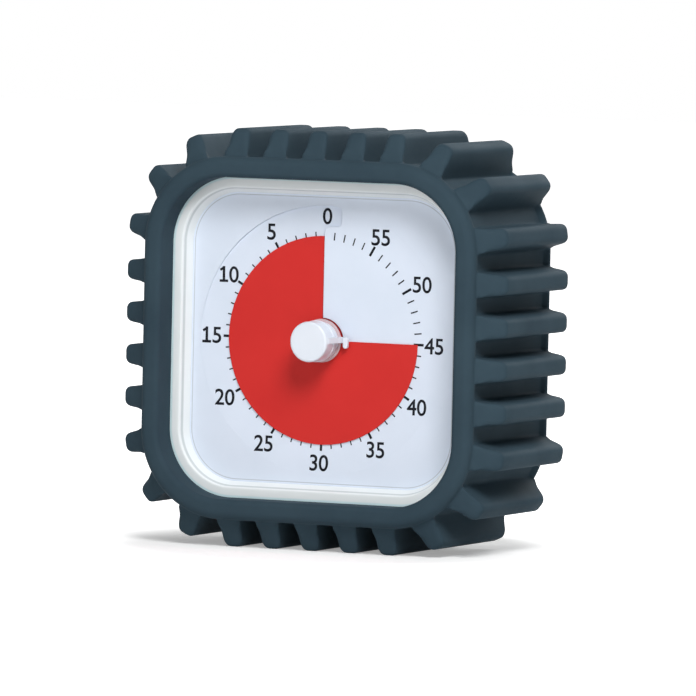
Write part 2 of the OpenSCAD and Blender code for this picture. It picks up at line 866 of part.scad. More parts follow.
// A wheel with four spokes, bored for its arbor
module spoked_wheel(count, m, z0, phase, bore, hub_r) {
    rim_r = pitch_r(count, m) - 1.2 * m - 0.9;
    translate([0, 0, z0])
        difference() {
            rotate([0, 0, phase])
                linear_extrude(wheel_t)
                    teeth(count, m);
            for (q = [0:3])
                rotate([0, 0, 90 * q + 45])
                    translate([0, 0, -1])
                        rotate_extrude(angle = 66, start = -33)
                            translate([hub_r, 0])
                                square([rim_r - hub_r, 3]);
            translate([0, 0, -1])
                cylinder(r = bore, h = 3);
        }
}

// Phase that sets a wheel in mesh: a gap of one wheel faces a tooth of the other along a line
function meshed(line, count, phase_driver, count_driver) =
    line + 180 + 180 / count - (line - phase_driver) * -count_driver / count;

module arbor(from, to) {
    translate([0, 0, from])
        cylinder(r = arbor_r, h = to - from);
    translate([0, 0, inside_back - 0.5])
        cylinder(r = pivot_r, h = inside_front - inside_back + 1);
}

third_phase = meshed(150, small_teeth, 0, wheel_teeth);
fourth_phase = meshed(-100, small_teeth, third_phase, third_teeth);
fifth_phase = meshed(-62, quick_teeth, fourth_phase, wheel_teeth);
rotor_phase = meshed(-15, quick_teeth, fifth_phase, fifth_teeth);

// A wheel and its pinion on one arbor; the pinion meshes with the wheel before it
module wheel_and_pinion(at, wheel_count, wheel_m, z0, pinion_count, pinion_m, phase) {
    color("#c9a95a")
        in_place()
            translate([at[0], at[1], 0])
                union() {
                    spoked_wheel(wheel_count, wheel_m, z0, phase, pivot_r, 2.2);
                    translate([0, 0, z0 + 0.1])
                        rotate([0, 0, phase])
                            linear_extrude(wheel_t * 2 + 0.7)
                                teeth(pinion_count, pinion_m);
                    arbor(inside_back + 0.3, inside_front - 0.3);
                }
}

module centre_wheel() {
    color("#c9a95a")
        in_place()
            spoked_wheel(wheel_teeth, m1, centre_z0, 0, shaft_r + fit, 4);
}

module third_wheel() {
    wheel_and_pinion(third_at, third_teeth, m2, third_z0, small_teeth, m1, third_phase);
}

module fourth_wheel() {
    wheel_and_pinion(fourth_at, wheel_teeth, m2, fourth_z0, small_teeth, m2, fourth_phase);
}

module fifth_wheel() {
    wheel_and_pinion(fifth_at, fifth_teeth, m2 * fine, fifth_z0, quick_teeth, m2, fifth_phase);
}

module rotor() {
    color("#6d7278")
        in_place()
            translate([rotor_at[0], rotor_at[1], 0])
                union() {
                    translate([0, 0, magnet_z0])
                        cylinder(r = magnet_r, h = magnet_t);
                    translate([0, 0, magnet_z0 + 0.1])
                        rotate([0, 0, rotor_phase])
                            linear_extrude(magnet_t + 1.2)
                                teeth(quick_teeth, m2 * fine);
                    arbor(inside_back + 0.3, inside_front - 0.3);
                }
}

coil_x = [5, 19];
coil_r = 3;
core_t = 1.2;
stator_z0 = magnet_z0 + 0.2;

module stator() {
    color("#8b9095")
        in_place()
            difference() {
                union() {
                    translate([rotor_at[0], rotor_at[1], stator_z0])
                        cylinder(r = magnet_r + 1.3, h = core_t);
                    translate([rotor_at[0], rotor_at[1] - 1.5, stator_z0])
                        cube([coil_x[1] + 1.5 - rotor_at[0], 3, core_t]);
                }
                translate([rotor_at[0], rotor_at[1], stator_z0 - 1])
                    cylinder(r = magnet_r + 0.35, h = 4);
            }
}

module coil() {
    color("#b5673a")
        in_place()
            translate([coil_x[0], rotor_at[1], stator_z0 + core_t / 2])
                rotate([0, 90, 0])
                    difference() {
                        union() {
                            cylinder(r = coil_r - 0.4, h = coil_x[1] - coil_x[0]);
                            cylinder(r = coil_r, h = 0.8);
                            translate([0, 0, coil_x[1] - coil_x[0] - 0.8])
                                cylinder(r = coil_r, h = 0.8);
                        }
                        cube([core_t + 0.1, 3.1, 60], center = true);
                    }
}

module clutch_spring() {
    color("#c9a95a")
        in_place()
            difference() {
                translate([0, 0, centre_z0 + wheel_t + 0.05])
                    cylinder(r = 5.2, h = 0.4);
                translate([0, 0, centre_z0])
                    cylinder(r = shaft_r + fit, h = 4);
                for (q = [0:2])
                    rotate([0, 0, 120 * q])
                        translate([3, -1, centre_z0])
                            cube([4, 2, 4]);
            }
}

module linear_box(w, h, r, from, to) {
    translate([0, 0, from])
        linear_extrude(to - from) {
            square([w, h - 2 * r], center = true);
            square([w - 2 * r, h], center = true);
            for (x = [-1, 1], y = [-1, 1])
                translate([x * (w / 2 - r), y * (h / 2 - r)])
                    circle(r);
        }
}

movement_split = (movement_front_z + movement_back_z) / 2;
movement_boss_r = 2.4;
movement_boss = [movement_w / 2, movement_h / 2] - (shell + movement_boss_r - bite) * [1, 1];
movement_bite = 4;
arbors = [third_at, fourth_at, fifth_at, rotor_at];

module movement_corners() {
    for (x = [-1, 1], y = [-1, 1])
        translate([x * movement_boss[0], y * movement_boss[1], 0])
            children();
}

module movement_front() {
    color("#f4f4f2")
        in_place()
            difference() {
                union() {
                    difference() {
                        linear_box(movement_w, movement_h, 3, movement_split, movement_front_z);
                        linear_box(movement_w - 2 * shell, movement_h - 2 * shell, 3 - shell,
                            movement_split - 1, inside_front);
                    }
                    translate([0, 0, inside_front])
                        cylinder(r = neck_r, h = neck_front - inside_front);
                    movement_corners()
                        translate([0, 0, movement_split])
                            cylinder(r = movement_boss_r, h = movement_front_z - movement_split - 0.5);
                }
                cylinder(r = shaft_r + fit, h = 60, center = true);
                for (p = arbors)
                    translate([p[0], p[1], inside_front - 1])
                        cylinder(r = pivot_r + fit, h = 1.7);
                movement_corners()
                    translate([0, 0, movement_split - 1])
                        cylinder(r = small_screw_r + fit / 2, h = movement_bite + 1.5);
            }
}

module movement_rear() {
    color("#f4f4f2")
        in_place()
            difference() {
                union() {
                    difference() {
                        linear_box(movement_w, movement_h, 3, movement_back_z, movement_split);
                        linear_box(movement_w - 2 * shell, movement_h - 2 * shell, 3 - shell,
                            inside_back, movement_split + 1);
                    }
                    movement_corners()
                        translate([0, 0, movement_back_z + 0.5])
                            cylinder(r = movement_boss_r, h = movement_split - movement_back_z - 0.5);
                    translate([0, 0, inside_back - 0.5])
                        cylinder(r = 3.2, h = 1.9);
                }
                translate([0, 0, inside_back - 0.6])
                    cylinder(r = shaft_r / 2 + fit, h = 4);
                for (p = arbors)
                    translate([p[0], p[1], inside_back - 0.7])
                        cylinder(r = pivot_r + fit, h = 1.7);
                movement_corners()
                    translate([0, 0, movement_back_z - 1])
                        cylinder(r = small_screw_r + screw_pass, h = movement_d);
            }
}

module movement_screws() {
    color("silver")
        in_place()
            movement_corners()
                screw(movement_back_z, movement_split - movement_back_z + movement_bite, small_screw_r,
                    small_head_r);
}

module centre_shaft() {
    color("#b9bcbf")
        in_place()
            union() {
                translate([0, 0, inside_back + 1.5])
                    cylinder(r = shaft_r, h = knob_back + knob_grip - 0.2 - inside_back - 1.5);
                translate([0, 0, inside_back - 0.5])
                    cylinder(r = shaft_r / 2, h = 3);
                translate([0, 0, collar_z - collar_t])
                    cylinder(r = shaft_r + 1.4, h = collar_t);
            }
}

post_at = 31;
post_r = 3;

module chassis_plate() {
    color("#cfd2d4")
        in_place()
            difference() {
                union() {
                    plate(inner_half - 2 * seat, chassis_front - chassis_t, chassis_front);
                    // posts that the dial plate rests on
                    corners(post_at)
                        translate([0, 0, chassis_front - bite])
                            cylinder(r = post_r, h = chassis_gap + bite);
                }
                corners()
                    cylinder(r = boss_r + seat, h = 30, center = true);
                cylinder(r = neck_r + seat, h = 30, center = true);
                sides()
                    translate([0, 0, chassis_front - chassis_t - 1])
                        cylinder(r = small_screw_r + screw_pass, h = chassis_t + 2);
            }
}

cover_sleeve();
front_housing();
rear_housing();
housing_screws();
dial_plate();
chassis_plate();
chassis_screws();
red_disc();
disc_hub();
disc_washer();
setting_knob();
centre_shaft();
clutch_spring();
centre_wheel();
third_wheel();
fourth_wheel();
fifth_wheel();
rotor();
stator();
coil();
movement_front();
movement_rear();
movement_screws();
circuit_board();
board_screws();
quartz_crystal();
circuit_chip();
buzzer();
switch_body();
switch_slider();
battery_door();
battery_cell();
contact_spring();
contact_plate();
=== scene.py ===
import json
import math

import bpy
from mathutils import Matrix, Vector


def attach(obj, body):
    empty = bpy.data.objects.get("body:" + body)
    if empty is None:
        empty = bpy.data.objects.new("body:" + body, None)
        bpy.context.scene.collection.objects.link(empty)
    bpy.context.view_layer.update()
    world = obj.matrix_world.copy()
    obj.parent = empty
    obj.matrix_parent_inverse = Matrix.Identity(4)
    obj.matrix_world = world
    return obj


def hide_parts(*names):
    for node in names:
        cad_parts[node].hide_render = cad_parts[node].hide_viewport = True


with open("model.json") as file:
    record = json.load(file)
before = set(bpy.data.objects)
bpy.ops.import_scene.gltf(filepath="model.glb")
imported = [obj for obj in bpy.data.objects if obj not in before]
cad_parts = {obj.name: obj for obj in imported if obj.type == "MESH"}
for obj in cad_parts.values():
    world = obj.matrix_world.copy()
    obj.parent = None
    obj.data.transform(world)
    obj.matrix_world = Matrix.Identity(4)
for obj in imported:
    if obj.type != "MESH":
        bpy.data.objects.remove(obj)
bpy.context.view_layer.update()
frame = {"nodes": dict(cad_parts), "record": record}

# Lengths are in mm, and become metres when a piece is settled. The dial's plane has x to the
# right, y up and its height, or depth d, towards the viewer.
MM = 0.001
DIAL_Y = -14.3           # place of the dial's face along the frame's y
MIDDLE_Z = 53.85         # height of the dial's centre in the frame
CORNER_C = 23.8          # centre of every corner arc, across and up from the middle
IN_PLACE = Matrix(((MM, 0, 0, 0),                  # from the dial's plane to the frame
                   (0, 0, -MM, DIAL_Y * MM),
                   (0, MM, 0, MIDDLE_Z * MM),
                   (0, 0, 0, 1)))


# ---- modelling helpers ----

def start_fresh():
    """Object mode with nothing selected."""
    if bpy.context.object and bpy.context.object.mode != "OBJECT":
        bpy.ops.object.mode_set(mode="OBJECT")
    bpy.ops.object.select_all(action="DESELECT")


def edit():
    bpy.ops.object.mode_set(mode="EDIT")


def done():
    bpy.ops.object.mode_set(mode="OBJECT")


def pick_edges(obj, test):
    """Selects only the edges that pass a test, and ends in edit mode."""
    mesh = obj.data
    for group in (mesh.vertices, mesh.edges, mesh.polygons):
        group.foreach_set("select", [False] * len(group))
    bpy.context.tool_settings.mesh_select_mode = (False, True, False)
    for edge in mesh.edges:
        edge.select = test(edge)
    edit()


def choose(obj):
    start_fresh()
    bpy.context.view_layer.objects.active = obj
    obj.select_set(True)


def apply_modifiers(obj):
    choose(obj)
    for name in [m.name for m in obj.modifiers]:
        bpy.ops.object.modifier_apply(modifier=name)


def settle(obj):
    """Puts a piece drawn in the dial's plane in place, with its place in its mesh."""
    start_fresh()
    obj.data.transform(IN_PLACE @ obj.matrix_world)
    obj.matrix_world = Matrix.Identity(4)
    obj.data.update()


def join(pieces, name):
    start_fresh()
    for piece in pieces:
        piece.select_set(True)
    bpy.context.view_layer.objects.active = pieces[0]
    bpy.ops.object.join()
    pieces[0].name = name
    return pieces[0]


# ---- material helpers ----

def linear(code):
    """A colour written as it looks, such as 3d4c57, in the renderer's linear values."""
    parts = [int(code[i:i + 2], 16) / 255 for i in (0, 2, 4)]
    return tuple(c / 12.92 if c <= 0.04045 else ((c + 0.055) / 1.055) ** 2.4
                 for c in parts) + (1,)


def new_group(name, inputs, outputs):
    """An empty shader group with its sockets: the tree and its two end nodes."""
    tree = bpy.data.node_groups.new(name, "ShaderNodeTree")
    for label, kind, value in inputs:
        socket = tree.interface.new_socket(label, in_out="INPUT", socket_type=kind)
        socket.default_value = value
    for label, kind in outputs:
        tree.interface.new_socket(label, in_out="OUTPUT", socket_type=kind)
    start = tree.nodes.new("NodeGroupInput")
    end = tree.nodes.new("NodeGroupOutput")
    return tree, start, end


def node(tree, kind, values=None, **settings):
    """A node with its settings, and with values for the inputs that nothing feeds."""
    made = tree.nodes.new(kind)
    for key, value in settings.items():
        setattr(made, key, value)
    for key, value in (values or {}).items():
        made.inputs[key].default_value = value
    return made


SURFACE = [("Colour", "NodeSocketColor"), ("Roughness", "NodeSocketFloat"),
           ("Height", "NodeSocketFloat")]


def moulded_group():
    """Moulded surface: slow mottling of the colour, a fine grain and the roughness they give."""
    tree, start, end = new_group("moulded surface", [
        ("Colour", "NodeSocketColor", (0.8, 0.8, 0.8, 1)),
        ("Shade", "NodeSocketColor", (0.7, 0.7, 0.7, 1)),
        ("Mottle scale", "NodeSocketFloat", 60.0),
        ("Grain scale", "NodeSocketFloat", 2500.0),
        ("Roughness low", "NodeSocketFloat", 0.4),
        ("Roughness high", "NodeSocketFloat", 0.5)], SURFACE)
    link = tree.links.new
    place = node(tree, "ShaderNodeTexCoord")
    mottle = node(tree, "ShaderNodeTexNoise", {"Detail": 4.0, "Roughness": 0.55})
    grain = node(tree, "ShaderNodeTexNoise", {"Detail": 2.0, "Roughness": 0.6})
    link(place.outputs["Object"], mottle.inputs["Vector"])
    link(place.outputs["Object"], grain.inputs["Vector"])
    link(start.outputs["Mottle scale"], mottle.inputs["Scale"])
    link(start.outputs["Grain scale"], grain.inputs["Scale"])
    spread = node(tree, "ShaderNodeMapRange", {"From Min": 0.35, "From Max": 0.7})
    link(mottle.outputs["Fac"], spread.inputs["Value"])
    colour = node(tree, "ShaderNodeMix", data_type="RGBA")
    link(spread.outputs["Result"], colour.inputs["Factor"])
    link(start.outputs["Colour"], colour.inputs["A"])
    link(start.outputs["Shade"], colour.inputs["B"])
    both = node(tree, "ShaderNodeMath", operation="ADD")
    link(mottle.outputs["Fac"], both.inputs[0])
    link(grain.outputs["Fac"], both.inputs[1])
    rough = node(tree, "ShaderNodeMapRange", {"From Min": 0.7, "From Max": 1.3})
    link(both.outputs[0], rough.inputs["Value"])
    link(start.outputs["Roughness low"], rough.inputs["To Min"])
    link(start.outputs["Roughness high"], rough.inputs["To Max"])
    link(colour.outputs["Result"], end.inputs["Colour"])
    link(rough.outputs["Result"], end.inputs["Roughness"])
    link(grain.outputs["Fac"], end.inputs["Height"])
    return tree


def turned_group():
    """Turned metal: fine rings about the frame's y axis, with a slow change of tone."""
    tree, start, end = new_group("turned metal", [
        ("Colour", "NodeSocketColor", (0.8, 0.8, 0.8, 1)),
        ("Shade", "NodeSocketColor", (0.6, 0.6, 0.6, 1)),
        ("Ring scale", "NodeSocketFloat", 900.0)], SURFACE)
    link = tree.links.new
    place = node(tree, "ShaderNodeTexCoord")
    rings = node(tree, "ShaderNodeTexWave",
                 {"Distortion": 2.0, "Detail": 2.0, "Detail Scale": 2.0},
                 wave_type="RINGS", rings_direction="Y")
    tone = node(tree, "ShaderNodeTexNoise", {"Scale": 180.0, "Detail": 3.0})
    link(place.outputs["Object"], rings.inputs["Vector"])
    link(place.outputs["Object"], tone.inputs["Vector"])
    link(start.outputs["Ring scale"], rings.inputs["Scale"])
    colour = node(tree, "ShaderNodeMix", data_type="RGBA")
    link(tone.outputs["Fac"], colour.inputs["Factor"])
    link(start.outputs["Colour"], colour.inputs["A"])
    link(start.outputs["Shade"], colour.inputs["B"])
    rough = node(tree, "ShaderNodeMapRange", {"To Min": 0.22, "To Max": 0.4})
    link(rings.outputs["Fac"], rough.inputs["Value"])
    link(colour.outputs["Result"], end.inputs["Colour"])
    link(rough.outputs["Result"], end.inputs["Roughness"])
    link(rings.outputs["Fac"], end.inputs["Height"])
    return tree


def rings_group():
    """How far a point is from the dial's middle across rounded squares, as a half size in mm."""
    tree, start, end = new_group("across the square", [], [("Half", "NodeSocketFloat")])
    value = node(tree, "ShaderNodeTexCoord").outputs["Object"]
    for operation, other in (("SUBTRACT", (0, 0, MIDDLE_Z * MM)),
                             ("ABSOLUTE", None),
                             ("SUBTRACT", (CORNER_C * MM, 0, CORNER_C * MM)),
                             ("MAXIMUM", (0, 0, 0)),
                             ("MULTIPLY", (1 / MM, 0, 1 / MM)),
                             ("LENGTH", None)):
        step = node(tree, "ShaderNodeVectorMath", {1: other} if other else None,
                    operation=operation)
        tree.links.new(value, step.inputs[0])
        value = step.outputs["Value" if operation == "LENGTH" else "Vector"]
    total = node(tree, "ShaderNodeMath", {1: CORNER_C}, operation="ADD")
    tree.links.new(value, total.inputs[0])
    tree.links.new(total.outputs[0], end.inputs["Half"])
    return tree


MOULDED = moulded_group()
TURNED = turned_group()
RINGS = rings_group()
RING_CORE = 0.4          # part of a ring's reach that has its full colour


def with_rings(material, rings):
    """Paints soft rounded squares of painted shade and painted reflection over a material: half
    size, reach and colour of each.
    """
    tree = material.node_tree
    across = node(tree, "ShaderNodeGroup")
    across.node_tree = RINGS
    base = tree.nodes["Principled BSDF"].inputs["Base Color"]
    for half, reach, colour in rings:
        off = node(tree, "ShaderNodeMath", {1: half}, operation="SUBTRACT")
        size = node(tree, "ShaderNodeMath", operation="ABSOLUTE")
        mask = node(tree, "ShaderNodeMapRange",
                    {"From Min": reach * RING_CORE, "From Max": reach,
                     "To Min": 1.0, "To Max": 0.0}, interpolation_type="SMOOTHSTEP")
        mix = node(tree, "ShaderNodeMix", {"B": linear(colour)}, data_type="RGBA")
        tree.links.new(across.outputs["Half"], off.inputs[0])
        tree.links.new(off.outputs[0], size.inputs[0])
        tree.links.new(size.outputs[0], mask.inputs["Value"])
        tree.links.new(mask.outputs["Result"], mix.inputs["Factor"])
        tree.links.new(base.links[0].from_socket, mix.inputs["A"])
        tree.links.new(mix.outputs["Result"], base)
    return material


def finish_with(name, effect, values, relief, settings, soften=0.0):
    """A material whose colour, roughness and bump come from one effect.

    The effect takes the values, the shader's own sockets take the settings, and relief and
    soften are the depth of the bump and the radius that edges are shaded with, in mm.
    """
    material = bpy.data.materials.new(name)
    material.use_nodes = True
    tree = material.node_tree
    shader = tree.nodes["Principled BSDF"]
    made = node(tree, "ShaderNodeGroup")
    made.node_tree = effect
    for key, value in values.items():
        made.inputs[key].default_value = value
    bump = node(tree, "ShaderNodeBump", {"Strength": 1.0, "Distance": relief * MM})
    tree.links.new(made.outputs["Colour"], shader.inputs["Base Color"])
    tree.links.new(made.outputs["Roughness"], shader.inputs["Roughness"])
    tree.links.new(made.outputs["Height"], bump.inputs["Height"])
    tree.links.new(bump.outputs["Normal"], shader.inputs["Normal"])
    if soften:
        edge = node(tree, "ShaderNodeBevel", {"Radius": soften * MM})
        tree.links.new(edge.outputs["Normal"], bump.inputs["Normal"])
    for key, value in settings.items():
        shader.inputs[key].default_value = value
    return material


def moulded(name, colour, shade, rough=(0.4, 0.5), mottle=60.0, grain=2500.0, relief=0.01,
            soften=0.2, **settings):
    return finish_with(name, MOULDED, {
        "Colour": linear(colour), "Shade": linear(shade), "Mottle scale": mottle,
        "Grain scale": grain, "Roughness low": rough[0], "Roughness high": rough[1]},
        relief, {k.replace("_", " "): v for k, v in settings.items()}, soften)


def turned(name, colour, shade, rings=900.0, relief=0.004):
    return finish_with(name, TURNED, {
        "Colour": linear(colour), "Shade": linear(shade), "Ring scale": rings},
        relief, {"Metallic": 1.0})


# ---- materials of the carried-over pieces, by the slots of the record ----

FINISHES = {
    "sleeve": moulded("sleeve silicone", "394a54", "33434d", rough=(0.52, 0.64), mottle=45.0,
                      grain=3500.0, relief=0.014, soften=0.0, Specular_IOR_Level=0.02),
    "case_white": moulded("case plastic", "e8ecec", "e2e7e7", rough=(0.36, 0.5), mottle=40.0,
                          grain=4000.0, relief=0.008),
    # The dial's plastic gets a painted shade line round its edge further down.
    "dial_white": moulded("dial plastic with painted edge shade", "dde6f4", "d8e2f0", rough=(0.5, 0.62), mottle=50.0,
                          grain=5000.0, relief=0.006, soften=0.32, Specular_IOR_Level=0.25),
    "disc_red": moulded("disc film", "cf2c28", "ca2926", rough=(0.5, 0.62), mottle=50.0,
                        grain=5000.0, relief=0.006, Specular_IOR_Level=0.2),
    "knob_white": moulded("knob plastic", "e2e8f1", "dce3ed", rough=(0.3, 0.4), mottle=70.0,
                          grain=4000.0, relief=0.005),
    "inner_grey": moulded("chassis plastic", "c6c9cc", "bcc0c4", rough=(0.45, 0.6)),
    "movement_white": moulded("clockwork plastic", "efefeb", "e6e6e2", rough=(0.35, 0.5)),
    "steel": turned("steel", "b8babd", "a2a5a9"),
    "nickel": turned("nickel plate", "cfcdc6", "bdbab2"),
    "brass": turned("rolled brass", "d2ac62", "bd964e"),
    "magnet": moulded("magnet", "54575c", "43464b", rough=(0.35, 0.55), Metallic=0.6),
    "stator_steel": turned("stamped steel", "9ea1a5", "84878c", rings=500.0),
    "copper": turned("winding wire", "c0703f", "a35a2f", rings=1400.0, relief=0.02),
    "board_green": moulded("board varnish", "2c6b45", "245a3a", rough=(0.25, 0.4)),
    "black_plastic": moulded("black plastic", "26282b", "1e2023", rough=(0.4, 0.55)),
    "clear_film": moulded("clear film", "f2e6ea", "eadfe4", rough=(0.18, 0.3), mottle=90.0,
                          grain=5000.0, relief=0.002, Alpha=0.5),
    "cell_jacket": moulded("cell jacket", "3c4046", "2f3237", rough=(0.25, 0.35),
                           Metallic=0.5),
}

# Painted lines: painted shade round the dial's edge, where the bezel's wall meets it, and on the
# bezel a painted cyan reflection beside the sleeve's lip, painted shade in the crease at the top
# of the slope, and painted shade at the dial.
with_rings(FINISHES["dial_white"], [(36.72, 0.18, "b9c1cb")])
BEZEL_WITH_PAINTED_LIGHT = with_rings(
    moulded("bezel plastic with painted shade and reflection", "eff4f5", "eaf0f1", rough=(0.36, 0.5), mottle=40.0,
            grain=4000.0, relief=0.008),
    [(41.4, 0.9, "cfe8ec"), (38.35, 0.22, "cbd3d4"), (36.6, 0.3, "cdd6dc")])

for part in frame["record"]["subparts"]:
    mesh = frame["nodes"][part["node"]].data
    mesh.materials.clear()
    mesh.materials.append(BEZEL_WITH_PAINTED_LIGHT if part["node"] == "front_housing"
                          else FINISHES[part["material_slot"]])


# ---- sleeve ----

# Half sizes of the rounded squares: the wall between the ribs, the two rims, and the case.
FLOOR_HALF, RIM_HALF, CASE_HALF = 45.7, 46.7, 44.0
OUTLINE_R = FLOOR_HALF - CORNER_C
QUARTER = 2 * CORNER_C + math.pi / 2 * OUTLINE_R
RIM_FRONT, SLEEVE_BACK = 11.1, -39.7
CASE_FRONT, CASE_BACK = 3.5, -38.2
CLEAR = 0.05             # between the sleeve and the case
RIM_ROUND = 2.4                          # of both rims' outer edges
FRONT_LIP, FRONT_ROUND = 2.7, 1.5        # how far a lip reaches over the case, and its edge
REAR_LIP, REAR_ROUND = 1.7, 0.5
FRONT_RISE, REAR_RISE = (6.2, 2.3), (-35.2, 2)    # where a rim starts to rise, over what depth

RIBS = 30
PITCH = 4 * QUARTER / RIBS
RIB_H, RIB_ROOT = 8.15, 3.3              # height over the wall, and half the width at the foot
LEAN = 0.115                             # how far a rib's side leans in, for each mm up
TIP_ROUND, ROOT_ROUND = 1.6, 0.9
LOW_ROUND = 0.3                          # added to a tip's rounding for each mm it is lower
ROUND_SHARE = 0.45                       # most of a rib's height that one rounding takes
ARC_STEPS = 4
SIDE_AT = (0.33, 0.67)                   # points along a rib's side between its roundings
FADE_H = 1.5                             # below this height the columns go back to their rest
TIP_REAR, TIP_FRONT = -32.65, 4.05       # where a rib's tip ends along the sleeve's depth
END_TURN, END_FALL = math.radians(65), 2.112      # how far an end rounds over, and its slope
FOOT_BLEND = 0.9                         # height over which a rib's end runs into the rim
# Rows of the skin: how far past a rib's tip they lie on its ends, and where along the tip.
ENDS = [0, 0.43, 0.8, 1.08, 1.4, 1.8, 2.2, 2.6, 2.9, 3.2, 3.5, 3.8, 4.1, 4.4]
TIP_ROWS = (-25, -17, -9, -1)
SMOOTH_BELOW = math.radians(60)


def on_outline(s):
    """Point on the sleeve's wall and the way out of it, at a distance along it from the top."""
    q = math.floor(s / QUARTER + 0.5)
    t = s - q * QUARTER
    side, u = (-1 if t < 0 else 1), abs(t)
    if u < CORNER_C:
        point, out = Vector((u, FLOOR_HALF)), Vector((0, 1))
    else:
        a = (u - CORNER_C) / OUTLINE_R
        out = Vector((math.sin(a), math.cos(a)))
        point = Vector((CORNER_C, CORNER_C)) + OUTLINE_R * out
    turn = Matrix.Rotation(-math.pi / 2 * q, 2)
    return turn @ Vector((side * point.x, point.y)), turn @ Vector((side * out.x, out.y))


def rounded(centre, r, a0, a1, steps):
    """Points of an arc from one angle to the other, in degrees."""
    angles = [math.radians(a0 + (a1 - a0) * i / steps) for i in range(steps + 1)]
    return [(centre[0] + r * math.cos(a), centre[1] + r * math.sin(a)) for a in angles]


def ease(t):
    t = min(1, max(0, t))
    return t * t * (3 - 2 * t)


def half_rib(height):
    """Half of a rib's section, across and up, from beside its middle out to the floor."""
    r = min(TIP_ROUND + LOW_ROUND * (RIB_H - height), ROUND_SHARE * height)
    f = min(ROOT_ROUND, ROUND_SHARE * height)
    slant = math.hypot(1, LEAN)
    tilt = math.degrees(math.atan(LEAN))
    top = (RIB_ROOT - LEAN * (height - r) - r * slant, height - r)
    foot = (RIB_ROOT - LEAN * f + f * slant, f)
    tip = rounded(top, r, 90, tilt, ARC_STEPS)
    root = rounded(foot, f, 180 + tilt, 270, ARC_STEPS)
    side = [tuple(Vector(tip[-1]).lerp(Vector(root[0]), t)) for t in SIDE_AT]
    return [(top[0] / 2, height)] + tip + side + root + [((foot[0] + PITCH / 2) / 2, 0)]


REST = [u for u, h in half_rib(RIB_H)]   # the columns' places across for a full rib
COLUMNS = 2 * len(REST) + 2              # with a rib's middle and the middle of the gap


def rib_heights(height):
    """Every column's place across and its height over the floor, for ribs of one height."""
    blend = ease(height / FADE_H)
    half = [(rest + (u - rest) * blend, h) for rest, (u, h) in zip(REST, half_rib(height))]
    return [(-u, h) for u, h in reversed(half)] + [(0, height)] + half + [(PITCH / 2, 0)]


def rib_height(d):
    """Height of a rib over the wall: flat along its tip, rounded, then down its sloping end."""
    past = max(d - TIP_FRONT, TIP_REAR - d, 0)
    turn = TIP_ROUND * math.sin(END_TURN)
    if past < turn:
        return RIB_H - TIP_ROUND + math.sqrt(TIP_ROUND ** 2 - past ** 2)
    return RIB_H - TIP_ROUND * (1 - math.cos(END_TURN)) - END_FALL * (past - turn)


def rim_height(d):
    front = ease((d - FRONT_RISE[0]) / FRONT_RISE[1])
    rear = ease((REAR_RISE[0] - d) / REAR_RISE[1])
    return (RIM_HALF - FLOOR_HALF) * max(front, rear)


def skin_row(d):
    """A row of the outer skin: its depth, how proud the rim is there and how high the ribs."""
    rim = rim_height(d)
    over = rib_height(d) - rim
    if over < FOOT_BLEND:
        over = (max(0, over + FOOT_BLEND)) ** 2 / (4 * FOOT_BLEND)
    return d, rim, over


def plain_rows(profile):
    """Rows without ribs, from a profile of half sizes and depths."""
    return [(d, half - FLOOR_HALF, 0) for half, d in profile]


ROWS = (
    plain_rows([(CASE_HALF - REAR_LIP, CASE_BACK - CLEAR)]
               + rounded((CASE_HALF - REAR_LIP + REAR_ROUND, SLEEVE_BACK + REAR_ROUND),
                         REAR_ROUND, 180, 270, 3)
               + rounded((RIM_HALF - RIM_ROUND, SLEEVE_BACK + RIM_ROUND),
                         RIM_ROUND, -90, 0, 8))
    + [skin_row(TIP_REAR - e) for e in reversed(ENDS)]
    + [skin_row(d) for d in TIP_ROWS]
    + [skin_row(TIP_FRONT + e) for e in ENDS]
    + plain_rows(rounded((RIM_HALF - RIM_ROUND, RIM_FRONT - RIM_ROUND), RIM_ROUND, 0, 90, 8)
                 + rounded((CASE_HALF - FRONT_LIP + FRONT_ROUND, RIM_FRONT - FRONT_ROUND),
                           FRONT_ROUND, 90, 180, 6)
                 + [(CASE_HALF - FRONT_LIP, CASE_FRONT + CLEAR),
                    (CASE_HALF + CLEAR, CASE_FRONT + CLEAR),
                    (CASE_HALF + CLEAR, CASE_BACK - CLEAR)]))


def row_points(d, proud, height):
    """One row's points. A rib leaves the wall straight, also where the wall is curved."""
    points = []
    for i in range(RIBS):
        rib_out = on_outline(i * PITCH)[1]
        for u, h in rib_heights(height):
            point, out = on_outline(i * PITCH + u)
            points.append((*(point + out * proud + rib_out * h), d))
    return points


def sleeve():
    """Rows pulled out one after another, from the rear lip round to the case, then closed."""
    start_fresh()
    count = RIBS * COLUMNS
    bpy.ops.mesh.primitive_circle_add(vertices=count)
    obj = bpy.context.object
    mesh = obj.data
    for index, row in enumerate(ROWS):
        if index:
            edit()
            bpy.ops.mesh.extrude_edges_move()
            done()
        for v, place in zip(mesh.vertices[index * count:], row_points(*row)):
            v.co = place
    last = count * (len(ROWS) - 1)
    pick_edges(obj, lambda e: all(i < count for i in e.vertices)
               or all(i >= last for i in e.vertices))
    bpy.ops.mesh.bridge_edge_loops()
    bpy.ops.mesh.select_all(action="SELECT")
    bpy.ops.mesh.normals_make_consistent(inside=False)
    done()
    obj.name = "ribbed_sleeve"
    choose(obj)
    bpy.ops.object.shade_smooth_by_angle(angle=SMOOTH_BELOW)
    settle(obj)
    mesh.materials.append(FINISHES["sleeve"])
    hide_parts("cover_sleeve")
    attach(obj, "case")


sleeve()


# ---- dial printing ----

RAMP_R, RECESS_R = 27.5, 34.6            # the spiral ramp ends, and the recess round it ends
RISE, FADE = 0.85, 90                    # of the ramp in a turn; degrees in which its step fades
EDGE_STEP = 0.02                         # from the plate's face down to the recess's edge
POCKET_W, POCKET_IN = 4.7, 29.3          # the pocket beside 0: its width and inner end
PRINT_LIFT, INK = 0.03, 0.02             # top of the print over the dial, and its thickness

